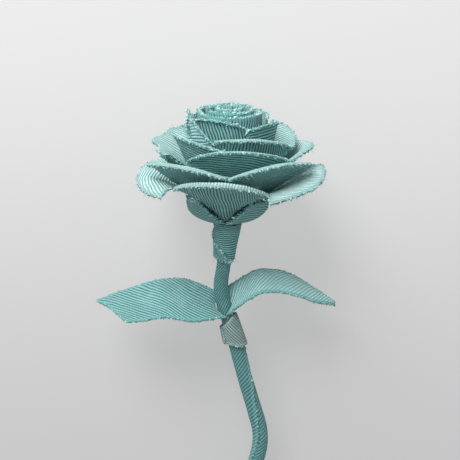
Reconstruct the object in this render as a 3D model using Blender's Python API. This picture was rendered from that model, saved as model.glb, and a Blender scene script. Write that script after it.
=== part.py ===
"""A stemmed rose wired together from a rolled strip, petals and leaves of teal twill cloth.

The rose is modelled upright, with the neck under the flower at z = 0 and its front at -y, and
an empty lays it on its back: the front faces up, and the flower and the stem's end rest on the floor.
"""
import math
from collections import namedtuple

import bmesh
import bpy
from mathutils import Matrix, Vector

MM = 0.001

# Main sizes: the flower about its axis, the stem from the neck to its end, the leaves from tip
# to tip, and the height at which they leave the stem. The tables below give the flower, the
# stem and the leaves in units of their own, which these sizes set.
FLOWER_RADIUS = 39.4 * MM
STEM_LENGTH = 173.0 * MM
LEAF_SPAN = 105.7 * MM
LEAF_HEIGHT = -42.0 * MM

# Stem: a wire inside a cloth wrap that thickens down to its middle. The centre line's points
# are (x, z).
WIRE_RADIUS = 1.5 * MM
STEM_RADIUS = 3.0 * MM
STEM_FOOT_RADIUS = 3.5 * MM
STEM_POINTS = [(0, 1), (-1.8, -18), (-3.2, -29), (-1.8, -38), (0.8, -46), (3.2, -55), (8.2, -74),
               (12.4, -89), (14.8, -99), (14.8, -108), (12.4, -118), (9, -130), (6, -146), (4, -172)]
STEM_SIDES = 12
STEM_STATIONS = 26

# Petal: cloth from a narrow foot, over a crest, out to a wide rim with a lip rolled outwards.
# Foot, crest and rim are (radius, height) about the flower's axis, and heading and spread are
# degrees about it, from +x. From its left end to its right end the rim rises by
# slope and moves out by tuck; both ends lie lower than its middle by drop and further in by pinch.
# Root is the spread at the foot. Follow is the shares, outwards and upwards, of the rim's moves
# that the crest makes too.
PETAL_ROOT = 16
CREST_FOLLOW = (0.6, 0.6)
Petal = namedtuple("Petal", "name heading spread foot crest rim slope drop tuck pinch lip turn root follow",
                   defaults=(PETAL_ROOT, CREST_FOLLOW))
PETALS = [
    Petal("petal_inner_front", -96, 50, (12.9, 25), (16.2, 33), (16.8, 45.3), -6.0, 3.0, 0.4, 0.0, 2.2, 80),
    Petal("petal_inner_back_right", 38, 50, (12.9, 25), (16.4, 33), (16.8, 45.6), -1.0, 1.0, 1.6, 0.0, 1.2, 40),
    Petal("petal_inner_back_left", 128, 38, (12.9, 25), (16.4, 33), (16.8, 44.6), -1.0, 1.0, 1.6, 0.0, 1.2, 40),
    Petal("petal_inner_left", -127, 23, (11.3, 20), (18.6, 30), (19.4, 43.6), -12.6, 0.0, 2.6, 0.0, 2.2, 90),
    Petal("petal_inner_right", -38, 29, (11.3, 20), (18.6, 30), (19.4, 43.4), 0.5, 1.0, 1.6, 0.0, 2.2, 90),
    Petal("petal_upper_left", -126, 32, (9.9, 15), (19.5, 25), (23.4, 38.2), -3.8, 0.8, 1.0, 0.0, 2.4, 100),
    Petal("petal_upper_right", -60, 43, (9.9, 15), (20.5, 25), (23.6, 39.2), -5.0, 2.4, 4.0, 0.0, 3.0, 140),
    Petal("petal_upper_far_right", 14.5, 29.5, (11.6, 16.5), (20.0, 28.0), (27.2, 37.0), 6.0, 0.0, 0.0, 0.0, 1.8, 40),
    Petal("petal_upper_far_left", 176, 34, (9.9, 15), (19.0, 29.5), (28.2, 35.4), -5.6, 0.0, 3.3, 2.5, 1.8, 40),
    Petal("petal_upper_back_right", 67, 30, (9.9, 15), (20.5, 26), (24.0, 39.0), 0.0, 2.0, 3.0, 0.0, 2.4, 110),
    Petal("petal_upper_back_left", 114, 30, (9.9, 15), (20.5, 26), (24.0, 39.5), 0.0, 2.0, 3.0, 0.0, 2.4, 110),
    Petal("petal_middle_front", -82, 46, (8.2, 10.5), (19.0, 22.5), (27.4, 36.2), -0.6, 5.4, 4.0, 0.4, 2.4, 90),
    Petal("petal_middle_side", -5, 30, (8.0, 9.5), (25.0, 28.5), (33.0, 33.6), 2.0, 2.0, 2.0, 3.0, 2.2, 60),
    Petal("petal_middle_back_right", 57, 31, (8.0, 9.5), (24.0, 22), (32.0, 33.0), -1.5, 3.0, 4.0, 1.0, 2.6, 110),
    Petal("petal_middle_back", 104, 31, (8.0, 9.5), (24.0, 22), (32.0, 33.0), -1.5, 3.0, 4.0, 1.0, 2.6, 110),
    Petal("petal_middle_back_left", 146, 28, (8.0, 9.5), (21.0, 22.0), (26.8, 30.6), -1.0, 2.4, 2.2, 1.0, 2.6, 110),
    Petal("petal_lower_left", -127, 36, (7.3, 8), (20.5, 20.5), (31.0, 30.4), -0.6, 3.0, -2.4, -1.0, 2.6, 110),
    Petal("petal_lower_right", -54, 35, (7.3, 8), (21.5, 19.5), (32.0, 30.8), 2.0, 3.4, 4.4, -1.0, 2.6, 100),
    Petal("petal_outer_left", -165, 27, (6.4, 5.2), (28.5, 26.0), (36.8, 20.0), -6.0, -1.0, 0.0, 1.5, 1.8, 30),
    Petal("petal_outer_front", -96, 37.5, (6.6, 2.9), (13.0, 10.0), (31.5, 25.0), -1.6, 5.0, 0.2, 1.7, 3.0, 130, 14, (0.6, 0.0)),
    Petal("petal_outer_right", -30.5, 31, (6.4, 5.2), (28.5, 23.6), (38.8, 21.2), 8.0, 0.0, 5.0, 1.5, 1.8, 30),
    Petal("petal_outer_back_right", 12, 24, (6.4, 5.2), (26.0, 20.5), (38.5, 22.5), -2.0, 2.0, 4.0, 1.5, 2.6, 90),
    Petal("petal_outer_back_mid_right", 63, 26, (6.4, 5.2), (26.0, 20), (39.4, 22.5), 0.0, 2.0, -3.0, 4.0, 2.6, 90),
    Petal("petal_outer_back_mid_left", 117, 26, (6.4, 5.2), (26.0, 20), (39.4, 22.5), 0.0, 2.0, 3.0, 4.0, 2.6, 90),
    Petal("petal_outer_back_left", 155, 17, (6.4, 5.2), (25.0, 20.5), (35.5, 23.0), -2.0, 2.0, 3.0, 1.5, 2.6, 90),
    Petal("sepal_left", -157, 29, (5.6, 1.2), (15.5, 2.2), (18.6, 12.9), 2.2, 0.0, 4.0, 0.0, 0.0, 0, 57, (-1.75, 0.6)),
    Petal("sepal_right", -29, 33, (5.6, 1.2), (15.5, 2.2), (18.6, 12.0), -1.6, 0.0, -4.0, 0.0, 0.0, 0, 63, (-1.75, 0.6)),
    Petal("sepal_back", 88, 42, (5.6, 1.2), (15.0, 2.6), (17.0, 10.2), 0.0, 3.4, 0.0, 1.2, 0.0, 0, 46),
]
PETAL_ACROSS = 8
PETAL_UP = 5
LIP_STEPS = 2

# Leaf: cloth ruled between its near edge and its far edge, each a smooth line through its
# points (x, y, z), of which z is counted from the leaves' own height. Clasp is the headings
# about the stem of its base's near end and far end, in degrees, where it is folded round it.
Leaf = namedtuple("Leaf", "name clasp near far")
LEAVES = [
    Leaf("leaf_left", (-90, -262),
         [(-2.5, -5, 0), (-14, -11, 0.5), (-26.5, -11, 2.4), (-36, -11, 1), (-44.2, -10, 0)],
         [(-3, 4, 8), (-17, 11, 11.7), (-30, 11, 11.8), (-43, 10, 8.4), (-58.5, 4, 4.4)]),
    Leaf("leaf_right", (-80, 80),
         [(1.4, -4, 1), (11, -10, 11.9), (20, -10, 13.9), (30, -9.5, 11.9), (38, -6.5, 7.8), (47, -0.6, 4.1)],
         [(1.7, 4, 10), (11, 10, 16.4), (21, 10, 16.9), (30, 9.5, 14), (38, 6.5, 10), (47.2, 0.6, 4.6)]),
]
CLASP_SHARE = 0.3
LEAF_ALONG = 12
LEAF_ACROSS = 6

# The units of the three tables, and the stem's height at its middle
FLOWER_UNIT = FLOWER_RADIUS / max(petal.rim[0] for petal in PETALS)
STEM_UNIT = STEM_LENGTH / (STEM_POINTS[0][1] - STEM_POINTS[-1][1])
LEAF_UNIT = LEAF_SPAN / (LEAVES[1].far[-1][0] - LEAVES[0].far[-1][0])
STEM_MIDDLE = STEM_POINTS[-1][1] * STEM_UNIT / 2

# Cloth and clearance
CLOTH = 0.9 * FLOWER_UNIT
GAP = 0.35 * FLOWER_UNIT
STEM_WALL = STEM_RADIUS - WIRE_RADIUS - GAP

# Neck wrap under the flower
NECK_RADIUS = 6.0 * FLOWER_UNIT
NECK_HEM_RADIUS = 5.3 * FLOWER_UNIT
NECK_WALL = 1.8 * FLOWER_UNIT
NECK_TOP = 0.6 * FLOWER_UNIT
NECK_BOTTOM = -14.0 * FLOWER_UNIT
HEM_SLANT = 3.0 * FLOWER_UNIT

# Core: a rolled strip, its turns standing free at the top and pressed together below. Its top
# is highest at the middle and falls by the dome towards its outer turn. The lean lifts it at
# the back, and lowers it at the front.
CORE_RADIUS = 14.2 * FLOWER_UNIT
CORE_TOP = 50.0 * FLOWER_UNIT
CORE_DOME = 2.4 * FLOWER_UNIT
CORE_LEAN = 0.8 * FLOWER_UNIT
CORE_TURNS = 3
CORE_OPEN_DEPTH = 9.0 * FLOWER_UNIT
CORE_STRIP = 1.5 * FLOWER_UNIT
CORE_EYE = 2.6 * FLOWER_UNIT
CORE_WAIST = 34.0 * FLOWER_UNIT
CORE_FOOT_RADIUS = 4.6 * FLOWER_UNIT
CORE_FOOT = 2.2 * FLOWER_UNIT
CORE_STEPS = 22
CORE_SIDES = 24

# Leaves' camber, and the binding, a strip wound round the stem under them
LEAF_CAMBER = 1.2 * LEAF_UNIT
BINDING_TOP = LEAF_HEIGHT - 0.8 * LEAF_UNIT
BINDING_BOTTOM = LEAF_HEIGHT - 15.0 * LEAF_UNIT
BINDING_FLARE = 0.8 * LEAF_UNIT

# Rest: the rose lies with its stem's end and the two lowest petals on the floor, so its flower
# end is raised by an angle under this one, in degrees, found to within the tolerance in radians
MOST_REST_TILT = 30.0
REST_TOLERANCE = 1e-6

TEAL = (0.22, 0.42, 0.41)
TEAL_PALE = (0.42, 0.62, 0.6)
STEEL = (0.45, 0.46, 0.46)


def material(name, colour, roughness, metallic=0.0):
    made = bpy.data.materials.new(name)
    made.use_nodes = True
    shader = made.node_tree.nodes["Principled BSDF"]
    shader.inputs["Base Color"].default_value = (*colour, 1)
    shader.inputs["Roughness"].default_value = roughness
    shader.inputs["Metallic"].default_value = metallic
    made.diffuse_color = (*colour, 1)
    return made


def new_object(name, mesh_source, finish, parent):
    """Makes an object from a bmesh, with its faces outwards."""
    bmesh.ops.recalc_face_normals(mesh_source, faces=mesh_source.faces)
    mesh = bpy.data.meshes.new(name)
    mesh_source.to_mesh(mesh)
    mesh_source.free()
    mesh.materials.append(finish)
    mesh.shade_smooth()
    made = bpy.data.objects.new(name, mesh)
    bpy.context.scene.collection.objects.link(made)
    made.parent = parent
    return made


def thicken(made, thickness, offset=0.0):
    """Gives a sheet its thickness: half to each side, or all inwards with an offset of -1."""
    solid = made.modifiers.new("Cloth", "SOLIDIFY")
    solid.thickness = thickness
    solid.offset = offset
    solid.use_even_offset = False
    return made


def smooth_points(points, stations):
    """Points at even steps along a Catmull-Rom curve through points of any dimension."""
    ends = [2 * points[0] - points[1]] + points + [2 * points[-1] - points[-2]]
    spans = len(points) - 1
    found = []
    for station in range(stations + 1):
        at = station / stations * spans
        span = min(int(at), spans - 1)
        t = at - span
        a, b, c, d = ends[span:span + 4]
        found.append(0.5 * (2 * b + (c - a) * t + (2 * a - 5 * b + 4 * c - d) * t * t
                            + (3 * b - a - 3 * c + d) * t ** 3))
    return found


def stem_line():
    return smooth_points([Vector((x, 0, z)) * STEM_UNIT for x, z in STEM_POINTS], STEM_STATIONS)


def stem_frame(line, index):
    """The matrix that puts a circle across the stem's line at one of its points."""
    before = line[max(index - 1, 0)]
    after = line[min(index + 1, len(line) - 1)]
    turn = Vector((0, 0, 1)).rotation_difference((before - after).normalized())
    return Matrix.Translation(line[index]) @ turn.to_matrix().to_4x4()


def ring(bm, matrix, radius, sides):
    made = bmesh.ops.create_circle(bm, segments=sides, radius=radius, matrix=matrix)
    return list({edge for vert in made["verts"] for edge in vert.link_edges})


def bridged(frames, radii, sides):
    """An open tube, as a bmesh, and its two end loops."""
    bm = bmesh.new()
    loops = [ring(bm, frame, radius, sides) for frame, radius in zip(frames, radii)]
    for first, second in zip(loops, loops[1:]):
        bmesh.ops.bridge_loops(bm, edges=first + second)
    return bm, (loops[0], loops[-1])


def sleeve(name, frames, radii, wall, finish, parent):
    """A tube with a bore through it: its wall lies inside the radii."""
    bm, _ = bridged(frames, radii, STEM_SIDES)
    made = new_object(name, bm, finish, parent)
    thicken(made, wall, -1.0)
    return made


def rod(name, frames, radii, sides, finish, parent):
    bm, ends = bridged(frames, radii, sides)
    for loop in ends:
        bmesh.ops.holes_fill(bm, edges=loop)
    return new_object(name, bm, finish, parent)


def at_height(line, height):
    """The stem's centre where it passes a height."""
    for above, below in zip(line, line[1:]):
        if below.z <= height <= above.z:
            return above.lerp(below, (above.z - height) / (above.z - below.z))
    return line[-1]


def stem_radius(height):
    """The stem's radius at a height: it thickens down to its middle."""
    return STEM_RADIUS + (STEM_FOOT_RADIUS - STEM_RADIUS) * min(1, max(0, height / STEM_MIDDLE))


def stem(finish, wire_finish, parent):
    line = stem_line()
    frames = [stem_frame(line, index) for index in range(len(line))]
    radii = [stem_radius(point.z) for point in line]
    sleeve("stem_wrap", frames, radii, STEM_WALL, finish, parent)
    rod("stem_wire", frames, [WIRE_RADIUS] * len(line), 8, wire_finish, parent)


def stem_collar(name, top, bottom, top_radius, bottom_radius, wall, finish, parent):
    """A wrap round the stem between two heights, its lower hem cut at a slant."""
    line = stem_line()
    frames, radii = [], []
    steps = 4
    for step in range(steps + 1):
        share = step / steps
        radii.append(top_radius + (bottom_radius - top_radius) * share)
        lean = Matrix.Rotation(math.atan2(HEM_SLANT * share, 2 * radii[-1]), 4, "Y")
        frames.append(Matrix.Translation(at_height(line, top + (bottom - top) * share)) @ lean)
    sleeve(name, frames, radii, wall, finish, parent)


def core(finish, parent):
    """The rolled strip: turns that stand free at the top of a body in which they are pressed together."""
    shelf = CORE_TOP - CORE_OPEN_DEPTH
    heights = (CORE_FOOT, CORE_WAIST, shelf)
    radii = (CORE_FOOT_RADIUS, CORE_RADIUS, CORE_RADIUS)
    frames = [Matrix.Translation((0, 0, height)) for height in heights]
    body = rod("core_roll", frames, radii, CORE_SIDES, finish, parent)

    # The spiral turns, a strip on edge
    bm = bmesh.new()
    low = shelf - 2 * CLOTH
    steps = CORE_TURNS * CORE_STEPS
    last = None
    for step in range(steps + 1):
        share = step / steps
        radius = CORE_EYE + (CORE_RADIUS - CORE_STRIP / 2 - CORE_EYE) * share
        angle = math.tau * CORE_TURNS * share
        out = Vector((math.cos(angle), math.sin(angle), 0))
        reach = radius / CORE_RADIUS
        top = CORE_TOP - CORE_DOME * reach ** 2 + CORE_LEAN * out.y * reach
        foot = bm.verts.new(out * radius + Vector((0, 0, low)))
        head = bm.verts.new(out * radius + Vector((0, 0, top)))
        if last:
            bm.faces.new((last[0], foot, head, last[1]))
        last = (foot, head)
    turns = new_object("core_turns_tool", bm, finish, parent)
    thicken(turns, CORE_STRIP)
    turns.hide_render = True
    turns.display_type = "WIRE"
    union = body.modifiers.new("Turns", "BOOLEAN")
    union.operation = "UNION"
    union.object = turns
    return body


def bezier(a, b, c, t):
    return (1 - t) ** 2 * a + 2 * t * (1 - t) * b + t * t * c


def petal_point(petal, across, up):
    """A point of a petal: across runs from -1 at its left end to 1 at its right end, and up
    runs from 0 at its foot to 1 at its rim and on to 2 at the end of its rolled lip."""
    body = min(up, 1.0)
    shift = Vector((petal.tuck * across / 2 - petal.pinch * across ** 2,
                    petal.slope * across / 2 - petal.drop * across ** 2))
    foot = Vector(petal.foot)
    crest = Vector(petal.crest) + shift * Vector(petal.follow)
    rim = Vector(petal.rim) + shift
    place = Vector((bezier(foot.x, crest.x, rim.x, body), bezier(foot.y, crest.y, rim.y, body))) * FLOWER_UNIT
    angle = math.radians(petal.heading + across * (petal.root + (petal.spread - petal.root) * body))
    if up > 1 and petal.turn:
        start = math.atan2(rim.x - crest.x, rim.y - crest.y)
        turned = math.radians(petal.turn) * (up - 1)
        length = petal.lip * FLOWER_UNIT * (1 - 0.45 * across ** 2)
        bend = length / math.radians(petal.turn)
        place.x += bend * (math.cos(start) - math.cos(start + turned))
        place.y += bend * (math.sin(start + turned) - math.sin(start))
    return Vector((place.x * math.cos(angle), place.x * math.sin(angle), place.y))


def petal_sheet(petal, finish, parent):
    rows = PETAL_UP + (LIP_STEPS if petal.turn else 0)
    bm = bmesh.new()
    grid = bmesh.ops.create_grid(bm, x_segments=PETAL_ACROSS, y_segments=rows, size=1)
    for vert in grid["verts"]:
        row = round((vert.co.y + 1) / 2 * rows)
        up = row / PETAL_UP if row <= PETAL_UP else 1 + (row - PETAL_UP) / LIP_STEPS
        vert.co = petal_point(petal, vert.co.x, up)
    return thicken(new_object(petal.name, bm, finish, parent), CLOTH)


def leaf_sheet(leaf, finish, parent):
    """A leaf's blade, with its base blended into an arc round the stem."""
    line = stem_line()
    start = Vector((0, 0, LEAF_HEIGHT))
    near = smooth_points([start + Vector(point) * LEAF_UNIT for point in leaf.near], LEAF_ALONG)
    far = smooth_points([start + Vector(point) * LEAF_UNIT for point in leaf.far], LEAF_ALONG)
    bm = bmesh.new()
    grid = bmesh.ops.create_grid(bm, x_segments=LEAF_ALONG, y_segments=LEAF_ACROSS, size=1)
    for vert in grid["verts"]:
        at = round((vert.co.x + 1) / 2 * LEAF_ALONG)
        across = (vert.co.y + 1) / 2
        blade = near[at].lerp(far[at], across)
        blade.z += LEAF_CAMBER * 4 * across * (1 - across)
        heading = math.radians(leaf.clasp[0] + (leaf.clasp[1] - leaf.clasp[0]) * across)
        height = near[0].z + (far[0].z - near[0].z) * across
        reach = stem_radius(height) + GAP + CLOTH / 2
        base = at_height(line, height) + reach * Vector((math.cos(heading), math.sin(heading), 0))
        free = min(1, at / LEAF_ALONG / CLASP_SHARE)
        vert.co = base.lerp(blade, free * free * (3 - 2 * free))
    return thicken(new_object(leaf.name, bm, finish, parent), CLOTH)


def surface_points(holder):
    """Every point of the finished pieces, in the frame of the object that holds them."""
    graph = bpy.context.evaluated_depsgraph_get()
    found = []
    for piece in holder.children:
        if not piece.hide_render:
            shape = piece.evaluated_get(graph)
            mesh = shape.to_mesh()
            found += [piece.matrix_local @ vert.co for vert in mesh.vertices]
            shape.to_mesh_clear()
    return found


def turned_back(points, tilt):
    """The points with the front turned up and the flower's end raised by a tilt in radians."""
    turn = Matrix.Rotation(tilt - math.pi / 2, 4, "X")
    return [turn @ point for point in points]


def rest_tilt(points):
    """The tilt at which the flower and the lower half of the stem stand on one level."""
    head = [point for point in points if point.z > 0]
    foot = [point for point in points if point.z < STEM_MIDDLE]
    low, high = 0.0, math.radians(MOST_REST_TILT)
    while high - low > REST_TOLERANCE:
        tilt = (low + high) / 2
        if min(p.z for p in turned_back(head, tilt)) < min(p.z for p in turned_back(foot, tilt)):
            low = tilt
        else:
            high = tilt
    return low


def lay_down(holder):
    """Lies the rose on its back, the flower towards +y, with the origin under its box's centre."""
    points = surface_points(holder)
    tilt = rest_tilt(points)
    laid = turned_back(points, tilt)
    near = Vector([min(point[axis] for point in laid) for axis in range(3)])
    far = Vector([max(point[axis] for point in laid) for axis in range(3)])
    holder.rotation_euler = (tilt - math.pi / 2, 0, 0)
    holder.location = (-(near.x + far.x) / 2, -(near.y + far.y) / 2, -near.z)


def main():
    for old in list(bpy.data.objects):
        bpy.data.objects.remove(old)
    cloth = material("teal_twill", TEAL, 0.9)
    pale = material("pale_twill", TEAL_PALE, 0.9)
    steel = material("wire", STEEL, 0.4, 1.0)

    rest = bpy.data.objects.new("rest_pose", None)
    bpy.context.scene.collection.objects.link(rest)

    stem(cloth, steel, rest)
    stem_collar("neck_wrap", NECK_TOP, NECK_BOTTOM, NECK_RADIUS, NECK_HEM_RADIUS, NECK_WALL, cloth, rest)
    wound = stem_radius(BINDING_BOTTOM) + GAP + CLOTH
    stem_collar("leaf_binding", BINDING_TOP, BINDING_BOTTOM, wound, wound + BINDING_FLARE, CLOTH, pale, rest)
    core(cloth, rest)
    for petal in PETALS:
        petal_sheet(petal, cloth, rest)
    for leaf in LEAVES:
        leaf_sheet(leaf, cloth, rest)

    lay_down(rest)


main()
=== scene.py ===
# %% [markdown]
# # A rose of twill cloth
# The rose is a handmade thing: a strip of ribbed cloth rolled up for the core, petals and
# sepals cut from the same cloth and set round it, and two leaves on a stem of wire wound with
# cloth. The imported model holds its solids. This lesson dresses them: each solid is replaced by
# a real sheet of cloth, with its ribs, its two sides and its frayed edges.
# It starts by loading the solids.

# %% Load the frame
import math
import random
from collections import namedtuple

import bmesh
import bpy
import numpy as np
from mathutils import Matrix, Vector, noise


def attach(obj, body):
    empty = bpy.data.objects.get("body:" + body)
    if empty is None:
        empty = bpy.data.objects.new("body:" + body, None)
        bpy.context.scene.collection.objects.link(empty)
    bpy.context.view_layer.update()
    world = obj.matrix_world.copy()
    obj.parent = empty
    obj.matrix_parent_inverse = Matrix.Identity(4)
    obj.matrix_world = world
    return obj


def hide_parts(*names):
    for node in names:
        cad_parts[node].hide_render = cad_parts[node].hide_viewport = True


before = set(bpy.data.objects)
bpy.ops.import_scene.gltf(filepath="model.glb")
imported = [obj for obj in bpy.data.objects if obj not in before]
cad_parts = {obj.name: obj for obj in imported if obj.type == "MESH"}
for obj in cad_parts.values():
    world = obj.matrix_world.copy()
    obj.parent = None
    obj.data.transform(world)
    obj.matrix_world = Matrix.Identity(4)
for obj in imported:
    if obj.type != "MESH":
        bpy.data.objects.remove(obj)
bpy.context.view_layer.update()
print("nodes:", len(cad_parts))

# %% [markdown]
# ## The rose's own frame
# The rose lies on its back, but it is easier to think of it upright: the flower's axis is z,
# its neck is at z = 0 and its front is at -y, all in millimetres. Every shape below is worked
# out there, and one matrix lays it down. The matrix goes into each mesh and not onto its
# object, so that every object stays at the origin.

# %% Matrix from the upright rose to the lying one
MM = 0.001
REST_TILT = math.radians(10.296651)
REST_PLACE = Vector((5.547, 59.712, 34.188)) * MM
REST = Matrix.Translation(REST_PLACE) @ Matrix.Rotation(REST_TILT - math.pi / 2, 4, "X")
FROM_UPRIGHT = REST @ Matrix.Scale(MM, 4)
print("neck at", [round(1000 * value, 1) for value in FROM_UPRIGHT @ Vector((0, 0, 0))])

# %% [markdown]
# ## Camera
# The camera looks at the front of the flower from a little above it, at arm's length. Its
# place is worked out round the upright rose and then laid down with it, so it ends up nearly
# overhead. The lens is a long one: 977 pixels of focal length on a picture 460 wide.

# %% Camera
CAMERA_TARGET = Vector((1.0, 0.0, -3.4))
CAMERA_DISTANCE = 420.0
CAMERA_ELEVATION = math.radians(17)
FOCAL_PIXELS = 977
PICTURE_PIXELS = 460
SENSOR = 36.0

camera_data = bpy.data.cameras.new("camera")
camera_data.sensor_fit = "HORIZONTAL"
camera_data.sensor_width = SENSOR
camera_data.lens = SENSOR * FOCAL_PIXELS / PICTURE_PIXELS
camera_data.clip_start, camera_data.clip_end = 0.01, 20.0
camera = bpy.data.objects.new("camera", camera_data)
bpy.context.scene.collection.objects.link(camera)
back = Vector((0, -math.cos(CAMERA_ELEVATION), math.sin(CAMERA_ELEVATION)))
aim = (-back).to_track_quat("-Z", "Y").to_matrix().to_4x4()
stand = REST @ Matrix.Translation((CAMERA_TARGET + back * CAMERA_DISTANCE) * MM)
camera.matrix_world = stand @ aim
bpy.context.scene.camera = camera
print("camera at", [round(value, 3) for value in camera.matrix_world.translation])

# %% [markdown]
# ## Shader helper
# Materials here are built from nodes. A small class wraps a node's socket so that sums can be
# written as Python sums, and one method makes every other node. That keeps a recipe for cloth
# readable as a recipe.

# %% Wrapped sockets
class Socket:
    """A shader value that can be added, multiplied and so on."""

    def __init__(self, finish, socket):
        self.finish = finish
        self.socket = socket

    def maths(self, operation, *values):
        node = self.finish.node("ShaderNodeMath", {"operation": operation}, dict(enumerate(values)))
        return Socket(self.finish, node.outputs[0])

    def __add__(self, other):
        return self.maths("ADD", self, other)

    def __radd__(self, other):
        return self.maths("ADD", other, self)

    def __sub__(self, other):
        return self.maths("SUBTRACT", self, other)

    def __rsub__(self, other):
        return self.maths("SUBTRACT", other, self)

    def __mul__(self, other):
        return self.maths("MULTIPLY", self, other)

    def __rmul__(self, other):
        return self.maths("MULTIPLY", other, self)

    def __truediv__(self, other):
        return self.maths("DIVIDE", self, other)

    def __pow__(self, other):
        return self.maths("POWER", self, other)

    def __abs__(self):
        return self.maths("ABSOLUTE", self)

    def sine(self):
        return self.maths("SINE", self)

    def fraction(self):
        return self.maths("FRACT", self)

    def floor(self):
        return self.maths("FLOOR", self)

    def ramp(self, low, high):
        """Goes smoothly from 0 at low to 1 at high. Low may be the larger one."""
        node = self.finish.node("ShaderNodeMapRange", {"interpolation_type": "SMOOTHSTEP"},
                                {"Value": self, "From Min": min(low, high), "From Max": max(low, high),
                                 "To Min": float(low > high), "To Max": float(low < high)})
        return Socket(self.finish, node.outputs[0])


print("a socket that adds and multiplies is ready")

# %% [markdown]
# ## A material in the making
# The pieces of the rose don't all look alike, so there are several materials. They could be
# made by hand in the shader editor, but a script can be read and run again. One class holds a
# material while its nodes are made: it joins values or links to sockets, mixes colours, adds
# noise, and paints colour, roughness and a bump onto the shader.

# %% Finishes
class Finish:
    """A material that is being built."""

    def __init__(self, name):
        self.material = bpy.data.materials.new(name)
        self.material.use_nodes = True
        self.tree = self.material.node_tree
        self.shader = self.tree.nodes["Principled BSDF"]

    def join(self, target, value):
        if isinstance(value, Socket):
            value = value.socket
        if isinstance(value, bpy.types.NodeSocket):
            self.tree.links.new(value, target)
        elif target.type == "RGBA" and len(value) == 3:
            target.default_value = (*value, 1)
        else:
            target.default_value = value

    def node(self, kind, settings=None, inputs=None):
        made = self.tree.nodes.new(kind)
        for key, value in (settings or {}).items():
            setattr(made, key, value)
        for key, value in (inputs or {}).items():
            self.join(made.inputs[key], value)
        return made

    def mix(self, share, first, second):
        node = self.node("ShaderNodeMix", {"data_type": "RGBA"})
        self.join(node.inputs["Factor"], share)
        self.join(node.inputs["A"], first)
        self.join(node.inputs["B"], second)
        return node.outputs["Result"]

    def noise(self, vector, scale, detail=2.0, roughness=0.5):
        node = self.node("ShaderNodeTexNoise", {"noise_dimensions": "3D"},
                         {"Vector": vector, "Scale": scale, "Detail": detail, "Roughness": roughness})
        return Socket(self, node.outputs["Fac"])

    def scaled(self, vector, scale):
        node = self.node("ShaderNodeVectorMath", {"operation": "MULTIPLY"}, {0: vector, 1: scale})
        return node.outputs["Vector"]

    def paint(self, colour, roughness, height=None, depth=0.0):
        """Sets the shader's colour and roughness, and a bump whose full height is depth metres."""
        self.join(self.shader.inputs["Base Color"], colour)
        self.join(self.shader.inputs["Roughness"], roughness)
        if height is not None:
            bump = self.node("ShaderNodeBump", {}, {"Height": height, "Strength": 1.0, "Distance": depth})
            self.join(self.shader.inputs["Normal"], bump.outputs["Normal"])
        return self.material


print("a material that can be painted is ready")

# %% [markdown]
# ## Twill
# Twill is woven so that strong parallel ribs cross the cloth, just over a millimetre apart, with
# thin grooves between them, whose dark colour is partly the yarn's own and partly painted shade.
# Each rib is a row of short slanted stitches of yarn. The cloth has a teal face and a paler
# reverse, and at a cut edge the weave opens and the teal yarns show. An image could carry this,
# but sums on the sheet's own UV map are sharper and follow every bend: U is the distance in
# millimetres across the ribs and V along them.
# An attribute holds the distance to the nearest cut edge. The same recipe also gives the
# leaves' cloth, a paler face that is partly painted light, the worn cloth of the stem and the
# binding's greyish cloth, which is partly painted shade.

# %% Twill material
RIB_PITCH = 1.25
RIB_WANDER = 1.6
RIB_DEPTH = 0.34
STITCH_PITCH = 0.7
STITCH_SHIFT = 0.37
OPEN_FROM, OPEN_TO = 1.9, 0.6


def twill(name, ridge, groove, opened, fuzz):
    """Ribbed cloth: colours of the ridges, the grooves and the opened weave at a cut edge."""
    finish = Finish(name)
    plane = finish.node("ShaderNodeUVMap", {"uv_map": "twill"}).outputs["UV"]
    split = finish.node("ShaderNodeSeparateXYZ", {}, {"Vector": plane})
    across = Socket(finish, split.outputs["X"])
    along = Socket(finish, split.outputs["Y"])
    cut = Socket(finish, finish.node("ShaderNodeAttribute", {"attribute_name": "cut"}).outputs["Fac"])

    # The ribs wander a little, as on cloth that has been handled
    wander = finish.noise(plane, 0.11, 2.0) - 0.5
    turn = (across + wander * RIB_WANDER) / RIB_PITCH
    from_middle = abs(turn.fraction() - 0.5) * 2
    rib = 1 - from_middle ** 1.5

    # Each rib is a row of slanted stitches, out of step with the next row
    row = turn.floor()
    stitch_turn = along / STITCH_PITCH + row * STITCH_SHIFT + from_middle * 0.5
    stitch = (stitch_turn * math.tau).sine() * 0.5 + 0.5

    # Fine fuzz, slow patches of wear, and the opened weave near a cut edge
    fluff = finish.noise(plane, 2.6, 4.0, 0.7)
    patches = finish.noise(plane, 0.16, 3.0, 0.6)
    edge_noise = finish.noise(plane, 0.9, 3.0, 0.6)
    open_weave = (cut + (edge_noise - 0.5) * 1.8).ramp(OPEN_FROM, OPEN_TO)

    light = rib * (0.72 + stitch * 0.28) + (fluff - 0.5) * fuzz
    colour = finish.mix(light.ramp(0.1, 1.0), groove, ridge)
    worn = finish.mix(patches.ramp(0.45, 0.75) * 0.22, colour, [min(1, 1.35 * part) for part in ridge])
    speckle = finish.mix(fluff.ramp(0.35, 0.68), [0.55 * part for part in opened], opened)
    final = finish.mix(open_weave * 0.85, worn, speckle)
    height = rib * 0.85 + stitch * rib * 0.15 + fluff * 0.2 + open_weave * (fluff - 0.4) * 0.9
    finish.shader.inputs["Sheen Weight"].default_value = 0.12
    finish.shader.inputs["Specular IOR Level"].default_value = 0.25
    return finish.paint(final, 0.92, height, RIB_DEPTH * MM)


# The groove colours are darker than the yarn alone: partly painted shade between the ribs.
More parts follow.
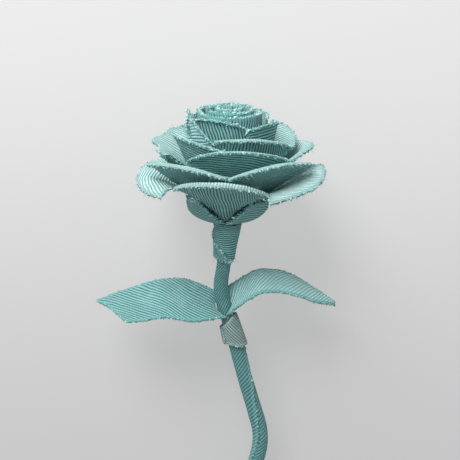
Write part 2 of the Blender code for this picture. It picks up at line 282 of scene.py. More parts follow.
FACE_RIDGE, FACE_GROOVE = (0.31, 0.63, 0.62), (0.015, 0.11, 0.11)
BACK_RIDGE, BACK_GROOVE = (0.62, 0.85, 0.83), (0.16, 0.37, 0.36)
OPENED = (0.24, 0.62, 0.6)
twill_face = twill("teal_twill_face", FACE_RIDGE, FACE_GROOVE, OPENED, 0.5)
twill_back = twill("teal_twill_back", BACK_RIDGE, BACK_GROOVE, (0.42, 0.68, 0.66), 0.5)
twill_leaf = twill("teal_twill_leaf", (0.31, 0.57, 0.56), (0.04, 0.18, 0.18), OPENED, 0.7)
# This paler face is partly painted light: part of its paleness stands in for the light on the pieces that
# wear it.
twill_pale_painted_light = twill("teal_twill_bloom", (0.46, 0.74, 0.73), (0.22, 0.46, 0.46), OPENED, 0.6)
twill_worn = twill("teal_twill_worn", (0.17, 0.38, 0.38), (0.06, 0.2, 0.2), OPENED, 1.0)
# Greyish binding cloth, darkened with painted shade from the leaves above it.
twill_grey_painted_shade = twill("pale_twill", (0.36, 0.5, 0.49), (0.13, 0.23, 0.23), (0.5, 0.66, 0.65), 0.7)
print("ribs every", RIB_PITCH, "mm, stitches every", STITCH_PITCH, "mm")

# %% [markdown]
# ## Loose yarn and wire
# The yarns that stick out of a cut edge are plain dyed cotton: teal, with pale flecks that are
# partly undyed yarn and partly painted highlights. Their colour changes from yarn to yarn, so it is
# read from the place in the object. The wire inside the stem shows only at its cut end.

# %% Yarn and wire materials
def loose_yarn(name, dark, bright, pale_and_highlight):
    finish = Finish(name)
    place = finish.node("ShaderNodeTexCoord").outputs["Object"]
    strands = finish.noise(place, 900.0, 2.0, 0.6)
    tufts = finish.noise(place, 330.0, 2.0, 0.6)
    colour = finish.mix(tufts.ramp(0.34, 0.62), dark, bright)
    # Pale flecks: partly undyed yarn, partly painted highlights on the frayed edges.
    colour = finish.mix(strands.ramp(0.48, 0.62) * 0.85, colour, pale_and_highlight)
    finish.shader.inputs["Sheen Weight"].default_value = 0.15
    finish.shader.inputs["Specular IOR Level"].default_value = 0.2
    return finish.paint(colour, 0.95, strands, 0.1 * MM)


def drawn_wire(name):
    finish = Finish(name)
    place = finish.node("ShaderNodeTexCoord").outputs["Object"]
    grain = finish.noise(finish.scaled(place, (3000, 400, 3000)), 1.0, 3.0)
    finish.shader.inputs["Metallic"].default_value = 1.0
    colour = finish.mix(grain, (0.42, 0.42, 0.43), (0.6, 0.6, 0.61))
    return finish.paint(colour, 0.3 + grain * 0.2, grain, 0.02 * MM)


yarn = loose_yarn("teal_yarn", (0.07, 0.27, 0.26), (0.25, 0.6, 0.58), (0.78, 0.94, 0.92))
wire_finish = drawn_wire("drawn_wire")
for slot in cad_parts["stem_wire"].material_slots:
    slot.material = wire_finish
print("yarn and wire ready")

# %% [markdown]
# ## Measuring a bent grid
# The ribs and the frayed edges have to know how far along the cloth a point lies. That could be
# read off the flat grid, but a grid that is bent by a rule is stretched more in some places than
# in others. So the lengths are measured on the bent grid itself, and with them the distance to
# the nearest cut edge.

# %% Measures of a grid
def unit(vectors):
    return vectors / np.maximum(np.linalg.norm(vectors, axis=-1, keepdims=True), 1e-9)


def surface_normals(points):
    return unit(np.cross(np.gradient(points, axis=1), np.gradient(points, axis=0)))


def noise_at(points, size, seed):
    """Smooth noise from -1 to 1 at every point of a grid, with lumps about size across."""
    flat = points.reshape(-1, 3) / size + seed
    return np.array([noise.noise(Vector(point)) for point in flat]).reshape(points.shape[:-1])


def steps_along(points, axis):
    """The length along the grid's lines, from their first point."""
    lengths = np.linalg.norm(np.diff(points, axis=axis), axis=-1)
    start = np.zeros_like(np.take(lengths, [0], axis=axis))
    return np.cumsum(np.concatenate([start, lengths], axis=axis), axis=axis)


def cut_distance(across_length, up_length, cuts):
    """The distance to the nearest of the named cut edges."""
    away = {"left": across_length, "right": across_length[:, -1:] - across_length,
            "foot": up_length, "rim": up_length[-1:] - up_length}
    return np.min([away[cut] for cut in cuts], axis=0)


print("measures ready")

# %% [markdown]
# ## A sheet of cloth
# Every cloth piece starts as a flat grid, which a rule then bends to its place. The grid is
# also measured as it lies in the end: the lengths along its rows and columns are how it would
# lie flat, so they give the cloth its UV map, turned so that the ribs run at the angle they
# have on the real piece. The same lengths give the size it was cut to. Slow noise along the
# surface's normal, in lumps of about WAVE_SIZE, takes away the ruled look, and fast noise within
# FRAY_REACH of a cut edge frays it. A Solidify modifier gives the thickness, with the reverse
# side as a second material.

# %% Sheet builder
CLOTH = 0.9
WAVE_SIZE = 9.0
FRAY_REACH = 1.2
Sheet = namedtuple("Sheet", "piece points normals width length area")


def cloth_sheet(name, place, columns, rows, ribs, cuts, seed, wave=0.35, fray=0.35,
                thickness=CLOTH, sides=(None, None), coarse=1.0):
    """Makes a cloth piece from place(across, up), which gives upright millimetres for a grid of
    across and up. Ribs is the angle of the ribs from the across direction, in degrees, and
    coarse how much wider than usual they are."""
    across, up = np.meshgrid(columns, rows)
    points = place(across, up)
    normals = surface_normals(points)
    points = points + normals * (wave * noise_at(points, WAVE_SIZE, seed))[..., None]
    across_length, up_length = steps_along(points, 1), steps_along(points, 0)
    away = cut_distance(across_length, up_length, cuts)

    # Frayed edges: the last millimetre of the cloth is pulled about along the sheet
    outwards = unit(np.gradient(points, axis=0)) * ("rim" in cuts)
    near = np.clip(1 - away / FRAY_REACH, 0, 1)
    points = points + (outwards * (near * fray * noise_at(points, 0.8, seed + 7))[..., None])
    points = points + normals * (near * fray * 0.8 * noise_at(points, 1.1, seed + 13))[..., None]

    # The flat grid is bent to the points, and the lengths along it become its UV map
    bm = bmesh.new()
    ribs_map = bm.loops.layers.uv.new("twill")
    cut_layer = bm.verts.layers.float.new("cut")
    grid = bmesh.ops.create_grid(bm, x_segments=len(columns) - 1, y_segments=len(rows) - 1, size=1)
    turn = math.radians(ribs)
    for vert in grid["verts"]:
        column = round((vert.co.x + 1) / 2 * (len(columns) - 1))
        row = round((vert.co.y + 1) / 2 * (len(rows) - 1))
        s = across_length[row, column] - across_length[row, -1] / 2
        t = up_length[row, column]
        flat = (seed * 31 - s * math.sin(turn) + t * math.cos(turn), s * math.cos(turn) + t * math.sin(turn))
        vert[cut_layer] = away[row, column]
        vert.co = FROM_UPRIGHT @ Vector(points[row, column])
        for loop in vert.link_loops:
            loop[ribs_map].uv = (flat[0] / coarse, flat[1] / coarse)
    piece = finished_piece(name, bm, [sides[0] or twill_face, sides[1] or twill_back])
    solid = piece.modifiers.new("Cloth", "SOLIDIFY")
    solid.thickness = thickness * MM
    solid.offset = 0.0
    solid.use_even_offset = False
    solid.material_offset = 1
    cells = np.linalg.norm(np.cross(np.diff(points, axis=1)[:-1], np.diff(points, axis=0)[:, :-1]), axis=-1)
    return Sheet(piece, points, normals, across_length[:, -1].max(), up_length[-1].max(), cells.sum())


def finished_piece(name, bm, finishes):
    mesh = bpy.data.meshes.new(name)
    bm.to_mesh(mesh)
    bm.free()
    for finish in finishes:
        mesh.materials.append(finish)
    mesh.shade_smooth()
    piece = bpy.data.objects.new(name, mesh)
    bpy.context.scene.collection.objects.link(piece)
    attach(piece, "root")
    return piece


print("cloth is", CLOTH, "mm thick")

# %% [markdown]
# ## Frayed edges
# Cut twill frays into short yarns, one or two for every rib. They could be hair particles, but
# those are no meshes. Here each yarn is a thin cone with four sides, set along the
# edge at uneven steps and leaning at random, from a seeded generator so that every run is the
# same. Here and there a longer, finer thread hangs out. The yarns of a sheet are a piece of
# their own, made together with the sheet.

# %% Fringe builder
YARN_STEP = 0.34
YARN_RADIUS = 0.35
THREAD_RADIUS = 0.07


def add_strand(bm, start, direction, length, radius, tip):
    turned = Vector((0, 0, 1)).rotation_difference(direction).to_matrix().to_4x4()
    middle = Matrix.Translation(start + direction * (length / 2))
    bmesh.ops.create_cone(bm, cap_ends=True, cap_tris=False, segments=4, radius1=radius, radius2=tip,
                          depth=length, matrix=FROM_UPRIGHT @ middle @ turned)


def edge_lines(sheet, cuts):
    """For each cut edge, its points with the directions out of the cloth and off its surface."""
    points, normals = sheet.points, sheet.normals
    picks = {"left": (np.s_[:, 0], np.s_[:, 1]), "right": (np.s_[:, -1], np.s_[:, -2]),
             "foot": (np.s_[0], np.s_[1]), "rim": (np.s_[-1], np.s_[-2])}
    for cut in cuts:
        last, inner = picks[cut]
        yield points[last], unit(points[last] - points[inner]), normals[last]


def fringe(name, sheet, cuts, seed, length=1.0, threads=0.06, skip=0.0, step=YARN_STEP):
    """Yarns along the cut edges. Skip leaves out the share of each side edge next to the foot."""
    rng = random.Random(seed)
    bm = bmesh.new()
    for line, outs, normals in edge_lines(sheet, cuts):
        lengths = np.concatenate([[0], np.cumsum(np.linalg.norm(np.diff(line, axis=0), axis=1))])
        at = lengths[-1] * (skip if len(line) == len(sheet.points) else 0.0)
        while at < lengths[-1]:
            index = min(int(np.searchsorted(lengths, at, side="right")) - 1, len(line) - 2)
            share = (at - lengths[index]) / max(lengths[index + 1] - lengths[index], 1e-9)
            place = Vector(line[index] + (line[index + 1] - line[index]) * share)
            out, normal = Vector(outs[index]), Vector(normals[index])
            side = out.cross(normal)
            lean = out + side * rng.uniform(-0.9, 0.9) + normal * rng.uniform(-0.9, 0.9)
            start = place - out * 0.4 + normal * rng.uniform(-0.42, 0.42)
            add_strand(bm, start, lean.normalized(), length * rng.uniform(0.5, 1.25),
                       YARN_RADIUS * rng.uniform(0.7, 1.2), YARN_RADIUS * rng.uniform(0.3, 0.8))
            if rng.random() < threads:
                stray = (out + side * rng.uniform(-1.2, 1.2) + normal * rng.uniform(-0.8, 0.8)).normalized()
                add_strand(bm, place, stray, length * rng.uniform(1.5, 3.0),
                           THREAD_RADIUS, THREAD_RADIUS * 0.5)
            at += step * rng.uniform(0.6, 1.4)
    return finished_piece(name, bm, [yarn])


def declare(sheet, node):
    """Says which solid a sheet stands for and its flat size, and hides that solid."""
    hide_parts(node)
    sheet.width * MM
    sheet.area * MM * MM
    print(f"{node}: {sheet.width:.0f} x {sheet.length:.0f} mm flat, {sheet.area:.0f} mm2")


print("a yarn every", YARN_STEP, "mm")

# %% [markdown]
# ## Petals
# A petal is a piece of cloth with a narrow foot, glued under the core, that swells over a
# crest and opens to a wide rim, where its edge is rolled outwards as a lip. Its profile is a
# quadratic curve through foot, crest and rim, swept round the flower's axis. A petal is never
# even, so its rim rises from one end to the other (slope), its ends drop and draw in (drop,
# pinch), and one end lies further out than the other (tuck), which lets the petals overlap
# like slates. Foot, crest and rim are (radius, height) in millimetres, and heading and spread
# are degrees about the axis, spread to each side. Ribs is the angle of the ribs, root is the
# spread at the foot, and follow is how much of the rim's moves the crest makes too. A table is
# the shortest way to say this for so many pieces that differ only in size.

# %% Petal table
PETAL_ROOT = 16
CREST_FOLLOW = (0.6, 0.6)
Petal = namedtuple(
    "Petal", "name heading spread foot crest rim slope drop tuck pinch lip turn ribs root follow",
    defaults=(PETAL_ROOT, CREST_FOLLOW))
PETAL_TABLE = [
    ("inner_front", -96, 50, (12.9, 25), (16.2, 33), (16.8, 45.3), -6.0, 3.0, 0.4, 0.0, 2.2, 80, 108),
    ("inner_back_right", 38, 50, (12.9, 25), (16.4, 33), (16.8, 45.6), -1.0, 1.0, 1.6, 0.0, 1.2, 40, 60),
    ("inner_back_left", 128, 38, (12.9, 25), (16.4, 33), (16.8, 44.6), -1.0, 1.0, 1.6, 0.0, 1.2, 40, 120),
    ("inner_left", -127, 23, (11.3, 20), (18.6, 30), (19.4, 43.6), -12.6, 0.0, 2.6, 0.0, 2.2, 90, 14),
    ("inner_right", -38, 29, (11.3, 20), (18.6, 30), (19.4, 43.4), 0.5, 1.0, 1.6, 0.0, 2.2, 90, 4),
    ("upper_left", -126, 32, (9.9, 15), (19.5, 25), (23.4, 38.2), -3.8, 0.8, 1.0, 0.0, 2.4, 100, -12),
    ("upper_right", -60, 43, (9.9, 15), (20.5, 25), (23.6, 39.2), -5.0, 2.4, 4.0, 0.0, 3.0, 140, 90),
    ("upper_far_right", 14.5, 29.5, (11.6, 16.5), (20.0, 28.0), (27.2, 37.0), 6.0, 0.0, 0.0, 0.0,
     1.8, 40, -40),
    ("upper_far_left", 176, 34, (9.9, 15), (19.0, 29.5), (28.2, 35.4), -5.6, 0.0, 3.3, 2.5, 1.8, 40, 80),
    ("upper_back_right", 67, 30, (9.9, 15), (20.5, 26), (24.0, 39.0), 0.0, 2.0, 3.0, 0.0, 2.4, 110, 30),
    ("upper_back_left", 114, 30, (9.9, 15), (20.5, 26), (24.0, 39.5), 0.0, 2.0, 3.0, 0.0, 2.4, 110, 100),
    ("middle_front", -82, 46, (8.2, 10.5), (19.0, 22.5), (27.4, 36.2), -0.6, 5.4, 4.0, 0.4, 2.4, 90, -5),
    ("middle_side", -5, 30, (8.0, 9.5), (25.0, 28.5), (33.0, 33.6), 2.0, 2.0, 2.0, 3.0, 2.2, 60, 40),
    ("middle_back_right", 57, 31, (8.0, 9.5), (24.0, 22), (32.0, 33.0), -1.5, 3.0, 4.0, 1.0, 2.6, 110, 70),
    ("middle_back", 104, 31, (8.0, 9.5), (24.0, 22), (32.0, 33.0), -1.5, 3.0, 4.0, 1.0, 2.6, 110, 20),
    ("middle_back_left", 146, 28, (8.0, 9.5), (21.0, 22.0), (26.8, 30.6), -1.0, 2.4, 2.2, 1.0, 2.6, 110, 95),
    ("lower_left", -127, 36, (7.3, 8), (20.5, 20.5), (31.0, 30.4), -0.6, 3.0, -2.4, -1.0, 2.6, 110, -50),
    ("lower_right", -54, 35, (7.3, 8), (21.5, 19.5), (32.0, 30.8), 2.0, 3.4, 4.4, -1.0, 2.6, 100, 24),
    ("outer_left", -165, 27, (6.4, 5.2), (28.5, 26.0), (36.8, 20.0), -6.0, -1.0, 0.0, 1.5, 1.8, 30, 10),
    ("outer_front", -96, 37.5, (6.6, 2.9), (13.0, 10.0), (31.5, 25.0), -1.6, 5.0, 0.2, 1.7, 3.0,
     130, 94, 14, (0.6, 0.0)),
    ("outer_right", -30.5, 31, (6.4, 5.2), (28.5, 23.6), (38.8, 21.2), 8.0, 0.0, 5.0, 1.5, 1.8, 30, 60),
    ("outer_back_right", 12, 24, (6.4, 5.2), (26.0, 20.5), (38.5, 22.5), -2.0, 2.0, 4.0, 1.5, 2.6, 90, 80),
    ("outer_back_mid_right", 63, 26, (6.4, 5.2), (26.0, 20), (39.4, 22.5), 0.0, 2.0, -3.0, 4.0, 2.6, 90, 10),
    ("outer_back_mid_left", 117, 26, (6.4, 5.2), (26.0, 20), (39.4, 22.5), 0.0, 2.0, 3.0, 4.0, 2.6, 90, 60),
    ("outer_back_left", 155, 17, (6.4, 5.2), (25.0, 20.5), (35.5, 23.0), -2.0, 2.0, 3.0, 1.5, 2.6, 90, 110),
]
SEPAL_TABLE = [
    ("left", -151, 23, (5.6, 1.2), (15.5, 2.2), (18.6, 12.9), 2.2, 0.0, 4.0, 0.0, 0.0, 0, -8, 51,
     (-1.75, 0.6)),
    ("right", -32, 30, (5.6, 1.2), (15.5, 2.2), (18.6, 12.0), -1.6, 0.0, -4.0, 0.0, 0.0, 0, -14,
     60, (-1.75, 0.6)),
    ("back", 88, 64, (5.6, 1.2), (15.0, 2.6), (17.0, 10.2), 0.0, 3.4, 0.0, 1.2, 0.0, 0, 90, 66),
]
PETALS = [Petal("petal_" + name, *rest) for name, *rest in PETAL_TABLE]
PETALS += [Petal("sepal_" + name, *rest) for name, *rest in SEPAL_TABLE]
print("petals and sepals:", len(PETALS))

# %% [markdown]
# ## The shape of a petal
# A petal could be sculpted, but a rule is easier to change: it takes a place on the flat cloth
# and gives a place round the axis. The height along the cloth picks a point of the profile
# curve, and past the rim an arc rolls the lip outwards. The way across the cloth picks the
# angle. Three petals also have soft folds: their depth and number are listed by name.

# %% Petal shape
FOLDS = {"petal_upper_far_left": (1.3, 2.6), "petal_middle_side": (0.5, 1.6), "petal_outer_right": (0.4, 1.3)}


def bezier(a, b, c, t):
    return (1 - t) ** 2 * a + 2 * t * (1 - t) * b + t * t * c


def petal_place(petal):
    """The rule that puts a grid on a petal: up runs from 0 at the foot to 1 at the rim, and on
    to 2 at the end of the rolled lip."""
    def place(across, up):
        body = np.minimum(up, 1.0)
        out = petal.tuck * across / 2 - petal.pinch * across ** 2
        rise = petal.slope * across / 2 - petal.drop * across ** 2
        crest_radius = petal.crest[0] + petal.follow[0] * out
        crest_height = petal.crest[1] + petal.follow[1] * rise
        rim_radius, rim_height = petal.rim[0] + out, petal.rim[1] + rise
        radius = bezier(petal.foot[0], crest_radius, rim_radius, body)
        height = bezier(petal.foot[1], crest_height, rim_height, body)
        depth, count = FOLDS.get(petal.name, (0, 0))
        radius = radius + depth * body * np.sin(math.pi * count * across + 1)
        if petal.turn:
            start = np.arctan2(rim_radius - crest_radius, rim_height - crest_height)
            turned = math.radians(petal.turn) * np.maximum(up - 1, 0)
            bend = petal.lip * (1 - 0.45 * across ** 2) / math.radians(petal.turn)
            radius = radius + bend * (np.cos(start) - np.cos(start + turned))
            height = height + bend * (np.sin(start + turned) - np.sin(start))
        angle = np.radians(petal.heading + across * (petal.root + (petal.spread - petal.root) * body))
        return np.stack([radius * np.cos(angle), radius * np.sin(angle), height], axis=-1)
    return place


print("petals with soft folds:", ", ".join(FOLDS))

# %% [markdown]
# ## Cutting the petals and sepals
# Every petal goes through the same steps: bend the grid, set yarns along its cut sides and rim,
# and say what it stands for. Sepals have no rolled lip, and they fray into longer yarns and
# further down their sides. Two petals have a paler face, which is partly painted light.

# %% Petals and sepals
# Two petals get a paler face: partly their own colour, partly painted light.
PALE_PAINTED_LIGHT_FACES = {"petal_inner_left": twill_pale_painted_light, "petal_upper_left": twill_leaf}
PETAL_COLUMNS = 110
PETAL_ROWS = 22
LIP_ROWS = 7
PETAL_YARN = {"length": 1.0, "skip": 0.35}
SEPAL_YARN = {"length": 1.4, "skip": 0.1}


def make_petal(petal, seed):
    rows = np.linspace(0, 1, PETAL_ROWS)
    if petal.turn:
        rows = np.concatenate([rows, np.linspace(1, 2, LIP_ROWS + 1)[1:]])
    cuts = ("left", "right", "rim")
    sheet = cloth_sheet(petal.name + "_cloth", petal_place(petal), np.linspace(-1, 1, PETAL_COLUMNS + 1),
                        rows, petal.ribs, cuts, seed, sides=(PALE_PAINTED_LIGHT_FACES.get(petal.name), None))
    fray = fringe(petal.name + "_fray", sheet, cuts, seed, **(PETAL_YARN if petal.turn else SEPAL_YARN))
    declare(sheet, petal.name)


for number, petal in enumerate(PETALS):
    make_petal(petal, number)

# %% [markdown]
# ## Core
# The core is one doubled strip rolled up from its middle, its frayed top edge showing as a
# spiral. The roll is not round: it was pressed by hand, so its radius swells and shrinks
# twice a turn, and its turns stand a little lower the further out they are. Below the waist, the
# strip is cut on a slope, which gathers the roll to a cone. All sizes are millimetres.

# %% Core strip
CORE_RADIUS = 14.2
CORE_TOP = 50.0
CORE_DOME = 2.4
CORE_LEAN = 0.8
CORE_TURNS = 3
CORE_STRIP = 1.5
CORE_EYE = 2.6
CORE_WAIST = 34.0
CORE_FOOT_RADIUS = 4.6
CORE_FOOT = 2.2
CORE_COLUMNS = 300


def core_place(across, up):
    share = (across + 1) / 2
    angle = math.tau * CORE_TURNS * share
    radius = CORE_EYE + (CORE_RADIUS - CORE_STRIP / 2 - CORE_EYE) * share
    oval = 1 + 0.05 * np.cos(2 * angle + 0.4) * np.sin(np.pi * share)
    reach = radius / CORE_RADIUS
    top = CORE_TOP - CORE_DOME * reach ** 2 + CORE_LEAN * np.sin(angle) * reach
    slope = (CORE_WAIST - CORE_FOOT) / (CORE_RADIUS - CORE_FOOT_RADIUS)
    low = CORE_FOOT + slope * np.maximum(radius - CORE_FOOT_RADIUS, 0) + 1.0
    height = low + (top - low) * up
    return np.stack([radius * oval * np.cos(angle), radius * oval * np.sin(angle), height], axis=-1)


core_rows = np.concatenate([np.linspace(0, 0.7, 8), np.linspace(0.7, 1, 16)[1:]])
core = cloth_sheet("core_roll_cloth", core_place, np.linspace(-1, 1, CORE_COLUMNS + 1), core_rows,
                   90, ("rim",), 41, wave=0.3, fray=0.5, thickness=CORE_STRIP)
core_fray = fringe("core_roll_fray", core, ("rim",), 41, length=1.1, step=0.3)
declare(core, "core_roll")

# %% [markdown]
# ## Stem
# The stem is a wire wound with a strip of cloth whose edge overlaps its start, so its section
# is a shallow spiral and not a circle. The strip's free edge runs round the stem as a seam.
# The stem's line is a smooth curve through a few points, and one rule winds any strip round it,
# with its own upper and lower hems, so that it also serves for the neck wrap and the binding.

# %% Stem line and wound strips
STEM_POINTS = [(0, 1), (-1.8, -18), (-3.2, -29), (-1.8, -38), (0.8, -46), (3.2, -55), (8.2, -74),
               (12.4, -89), (14.8, -99), (14.8, -108), (12.4, -118), (9, -130), (6, -146), (4, -172)]
STEM_STATIONS = 200
STEM_RADIUS = 3.0
STEM_FOOT_RADIUS = 3.5


def smooth_points(points, stations):
    """Points at even steps along a Catmull-Rom curve."""
    points = np.array(points, float)
    ends = np.concatenate([[2 * points[0] - points[1]], points, [2 * points[-1] - points[-2]]])
    at = np.linspace(0, len(points) - 1, stations + 1)
    span = np.minimum(at.astype(int), len(points) - 2)
    t = (at - span)[:, None]
    a, b, c, d = (ends[span + step] for step in range(4))
    bend, twist = 2 * a - 5 * b + 4 * c - d, 3 * b - a - 3 * c + d
    return 0.5 * (2 * b + (c - a) * t + bend * t * t + twist * t ** 3)


STEM_LINE = smooth_points([(x, 0, z) for x, z in STEM_POINTS], STEM_STATIONS)


def stem_centre(height):
    """The stem's middle where it passes each height."""
    down = STEM_LINE[::-1]
    return np.stack([np.interp(height, down[:, 2], down[:, axis]) for axis in range(3)], axis=-1)


def stem_radius(height):
    middle = STEM_POINTS[-1][1] / 2
    return STEM_RADIUS + (STEM_FOOT_RADIUS - STEM_RADIUS) * np.clip(height / middle, 0, 1)


def wound_place(top, bottom, radius, turns, start, twist=0.0):
    """A strip wound round the stem: top and bottom are its hems and radius its middle radius,
    each a rule of the share of the way round. Up runs from the lower hem to the upper one.
    Start is the angle where it begins at height 0: 0 is the right and 90 the back. Twist is
    how far it turns with the height, in radians per millimetre."""
    def place(across, up):
        share = (across + 1) / 2
        height = bottom(share) + (top(share) - bottom(share)) * up
        angle = math.radians(start) + math.tau * turns * share + twist * height
        centre = stem_centre(height)
        below, above = stem_centre(height - 0.5), stem_centre(height + 0.5)
        line = unit(above - below)
        right = unit(np.stack([line[..., 2], 0 * height, -line[..., 0]], axis=-1))
        back = np.cross(line, right)
        reach = radius(share, height)[..., None]
        return centre + reach * (right * np.cos(angle)[..., None] + back * np.sin(angle)[..., None])
    return place


def level(height):
    """A hem that runs straight round the stem."""
    return lambda share: np.full_like(share, height)


print("stem line of", len(STEM_LINE), "points")

# %% [markdown]
# ## Winding the three strips
# The stem wrap goes once round the wire, its inner end under its outer one. The neck wrap is two
# turns of cloth wound at a slant: its frayed end slants down from the back round the left to the
# front, where its hem is lowest. The binding is a short greyish strip below the leaves, wider on
# its right side and flaring a little; its darkness is partly painted shade from the leaves above.
# A tube would be shorter to write, but it would have neither the seam nor the overlap.

# %% Stem wrap, neck wrap and binding
STEM_TURNS = 1.12
NECK_TURNS = 2.05
BINDING_TURNS = 1.15


def neck_hem(share):
    return -14.3 - 2.0 * np.cos(math.radians(-23) + math.tau * NECK_TURNS * share)


def neck_radius(share, height):
    inner = 3.7 + 0.04 * height
    outer_turn = (1.9 + 0.055 * height) * np.minimum(share * 1.6, 1)
    lifted_end = 0.4 * np.clip(share * 8 - 7, 0, 1)
    return inner + outer_turn + lifted_end


def binding_top(share):
    return -44.8 + 2.2 * np.cos(math.tau * BINDING_TURNS * share - math.pi)


def binding_hem(share):
    return -55.4 - 2.0 * np.cos(math.tau * BINDING_TURNS * share - math.pi * 1.05)


stem_wrap = cloth_sheet(
    "stem_wrap_cloth",
    wound_place(level(-1.0), level(STEM_LINE[-1][2] + 0.2),
                lambda share, height: stem_radius(height) - 0.95 + 0.85 * share, STEM_TURNS, 102, 0.0436),
    np.linspace(-1, 1, 41), np.linspace(0, 1, 171), 50, ("left", "right"), 51, wave=0.1, fray=0.35,
    sides=(twill_worn, twill_worn))
stem_fray = fringe("stem_wrap_fray", stem_wrap, ("right",), 51, length=0.8, step=0.5, threads=0.1)
declare(stem_wrap, "stem_wrap")

neck_wrap = cloth_sheet(
    "neck_wrap_cloth", wound_place(level(0.4), neck_hem, neck_radius, NECK_TURNS, 94, -0.205),
    np.linspace(-1, 1, 121), np.linspace(0, 1, 31), -22, ("left", "right", "foot"), 52, wave=0.25, fray=0.5)
neck_fray = fringe("neck_wrap_fray", neck_wrap, ("foot", "right"), 52, length=1.4, step=0.25)
declare(neck_wrap, "neck_wrap")

# The binding's dark colour is partly painted shade from the leaves.
binding = cloth_sheet(
    "leaf_binding_cloth",
    wound_place(binding_top, binding_hem,
                lambda share, height: stem_radius(height) + 0.72 - 0.1 * (43 + height) * share,
                BINDING_TURNS, 160),
    np.linspace(-1, 1, 81), np.linspace(0, 1, 25), 118, ("left", "right", "foot", "rim"), 53,
    wave=0.15, fray=0.3, sides=(twill_grey_painted_shade, twill_grey_painted_shade))
binding_fray = fringe("leaf_binding_fray", binding, ("foot", "right"), 53, length=0.7)
declare(binding, "leaf_binding")

# %% [markdown]
# ## Leaves
# Each leaf is one piece of cloth with a pointed tip. It springs from the stem, arches over and
# droops, and its base is folded round the stem. The blade is ruled between its near edge and
# its far edge and cambered between them, and near the stem it blends into an arc round the
# stem. A leaf's ribs are a little wider than the petals'.

# %% Leaves
Leaf = namedtuple("Leaf", "name clasp near far ribs face")
LEAVES = [
    Leaf("leaf_left", (-90, -262),
         [(-2.5, -5, -42), (-14, -11, -41.5), (-26.5, -11, -39.6), (-36, -11, -41), (-44.2, -10, -42)],
         [(-3, 4, -34), (-17, 11, -30.3), (-30, 11, -30.2), (-43, 10, -33.6), (-58.5, 4, -37.6)],
         44, twill_leaf),
    # The right leaf's paler face is partly painted light.
    Leaf("leaf_right", (-80, 80),
         [(1.4, -4, -41), (11, -10, -30.1), (20, -10, -28.1), (30, -9.5, -30.1), (38, -6.5, -34.2),
          (47, -0.6, -37.9)],
         [(1.7, 4, -32), (11, 10, -25.6), (21, 10, -25.1), (30, 9.5, -28), (38, 6.5, -32),
          (47.2, 0.6, -37.4)],
         58, twill_pale_painted_light),
]
LEAF_CAMBER = 1.2
CLASP_SHARE = 0.3
CLASP_GAP = 0.35
LEAF_COARSE = 1.25
LEAF_COLUMNS = 150
LEAF_ROWS = 40


def leaf_place(leaf):
    """Across runs from the stem to the tip, and up from the near edge to the far one."""
    near, far = smooth_points(leaf.near, LEAF_COLUMNS), smooth_points(leaf.far, LEAF_COLUMNS)

    def place(across, up):
        at = np.rint((across + 1) / 2 * LEAF_COLUMNS).astype(int)
        share = up[..., None]
        blade = near[at] * (1 - share) + far[at] * share
        blade[..., 2] += LEAF_CAMBER * 4 * up * (1 - up)
        heading = np.radians(leaf.clasp[0] + (leaf.clasp[1] - leaf.clasp[0]) * up)
        height = near[0][2] + (far[0][2] - near[0][2]) * up
        reach = (stem_radius(height) + CLASP_GAP + CLOTH / 2)[..., None]
        ring = np.stack([np.cos(heading), np.sin(heading), 0 * heading], axis=-1)
        base = stem_centre(height) + reach * ring
        free = np.clip(at / LEAF_COLUMNS / CLASP_SHARE, 0, 1)[..., None]
        free = free * free * (3 - 2 * free)
        return base * (1 - free) + blade * free
    return place


def make_leaf(leaf, seed):
    cuts = ("foot", "rim", "right")
    sheet = cloth_sheet(leaf.name + "_cloth", leaf_place(leaf), np.linspace(-1, 1, LEAF_COLUMNS + 1),
                        np.linspace(0, 1, LEAF_ROWS + 1), leaf.ribs, cuts, seed, wave=0.4,
                        sides=(leaf.face, twill_leaf), coarse=LEAF_COARSE)
    fray = fringe(leaf.name + "_fray", sheet, cuts, seed, length=0.8, step=0.6)
    declare(sheet, leaf.name)


for number, leaf in enumerate(LEAVES):
    make_leaf(leaf, 61 + number)

# %% [markdown]
# ## Floor
# The rose lies on a plain pale floor. It could be lit by the lamp alone, but its shadows would
# then be darker. So the floor glows a little for the camera, as a backlit photographer's table
# does, and the shadows on it stay thin.

# %% Floor
FLOOR_SIZE = 6.0
FLOOR_COLOUR = (0.6, 0.6, 0.6)
FLOOR_GLOW = 0.62
GLOW_NEAR, GLOW_FAR = (0.57, 0.57, 0.57), (0.9, 0.9, 0.9)


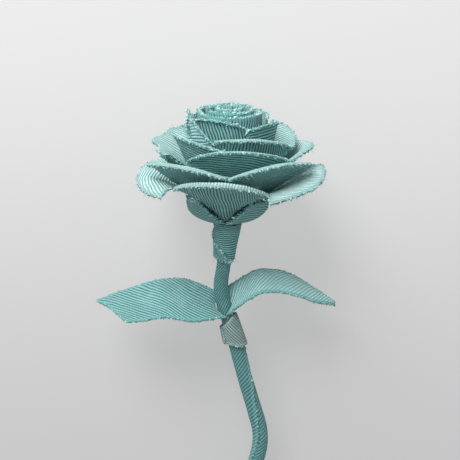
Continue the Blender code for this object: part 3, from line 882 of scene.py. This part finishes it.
def glowing_backdrop(name):
    """A matt floor that the camera sees as partly lit from within, which thins the shadows on
    it, brighter towards the flower's end. Every other ray meets the matt floor alone."""
    finish = Finish(name)
    matt = finish.paint(FLOOR_COLOUR, 0.9)
    place = finish.node("ShaderNodeTexCoord").outputs["Object"]
    split = finish.node("ShaderNodeSeparateXYZ", {}, {"Vector": place})
    far = Socket(finish, split.outputs["Y"]).ramp(-0.2, 0.17)
    glow = finish.node("ShaderNodeEmission", {}, {"Color": finish.mix(far ** 2.4, GLOW_NEAR, GLOW_FAR)})
    seen = Socket(finish, finish.node("ShaderNodeLightPath").outputs["Is Camera Ray"])
    both = finish.node("ShaderNodeMixShader", {}, {0: seen * FLOOR_GLOW, 1: finish.shader.outputs["BSDF"],
                                                   2: glow.outputs["Emission"]})
    output = finish.tree.nodes["Material Output"]
    finish.join(output.inputs["Surface"], both.outputs["Shader"])
    return matt


def plain_floor():
    bm = bmesh.new()
    bmesh.ops.create_grid(bm, x_segments=1, y_segments=1, size=FLOOR_SIZE / 2)
    mesh = bpy.data.meshes.new("floor")
    bm.to_mesh(mesh)
    bm.free()
    mesh.materials.append(glowing_backdrop("plain_floor"))
    floor = bpy.data.objects.new("floor", mesh)
    bpy.context.scene.collection.objects.link(floor)


plain_floor()
print("floor", FLOOR_SIZE, "m wide, glow", FLOOR_GLOW)

# %% [markdown]
# ## Light
# One large soft lamp stands beyond the flower, so that the tops of the petals catch it and
# their undersides fall into shade, and the sky fills the shade. A small lamp would do as well,
# but its shadows would be hard. Their level is such that a colour looks as it is written.

# %% Lamp and sky
LAMP_FROM = Vector((-0.24, 0.66, 0.56))
LAMP_SIZE = 0.55
LAMP_POWER = 7.6
SKY = 0.46


def soft_lamp():
    lamp = bpy.data.lights.new("soft_lamp", "AREA")
    lamp.shape = "DISK"
    lamp.size = LAMP_SIZE
    lamp.energy = LAMP_POWER
    holder = bpy.data.objects.new("soft_lamp", lamp)
    bpy.context.scene.collection.objects.link(holder)
    turned = LAMP_FROM.to_track_quat("Z", "Y").to_matrix().to_4x4()
    holder.matrix_world = Matrix.Translation(LAMP_FROM) @ turned


def plain_sky():
    world = bpy.data.worlds.new("sky")
    bpy.context.scene.world = world
    world.use_nodes = True
    background = world.node_tree.nodes["Background"]
    background.inputs["Color"].default_value = (1, 1, 1, 1)
    background.inputs["Strength"].default_value = SKY


soft_lamp()
plain_sky()
bpy.context.scene.view_settings.view_transform = "Standard"
print("lamp", LAMP_POWER, "W, sky", SKY)
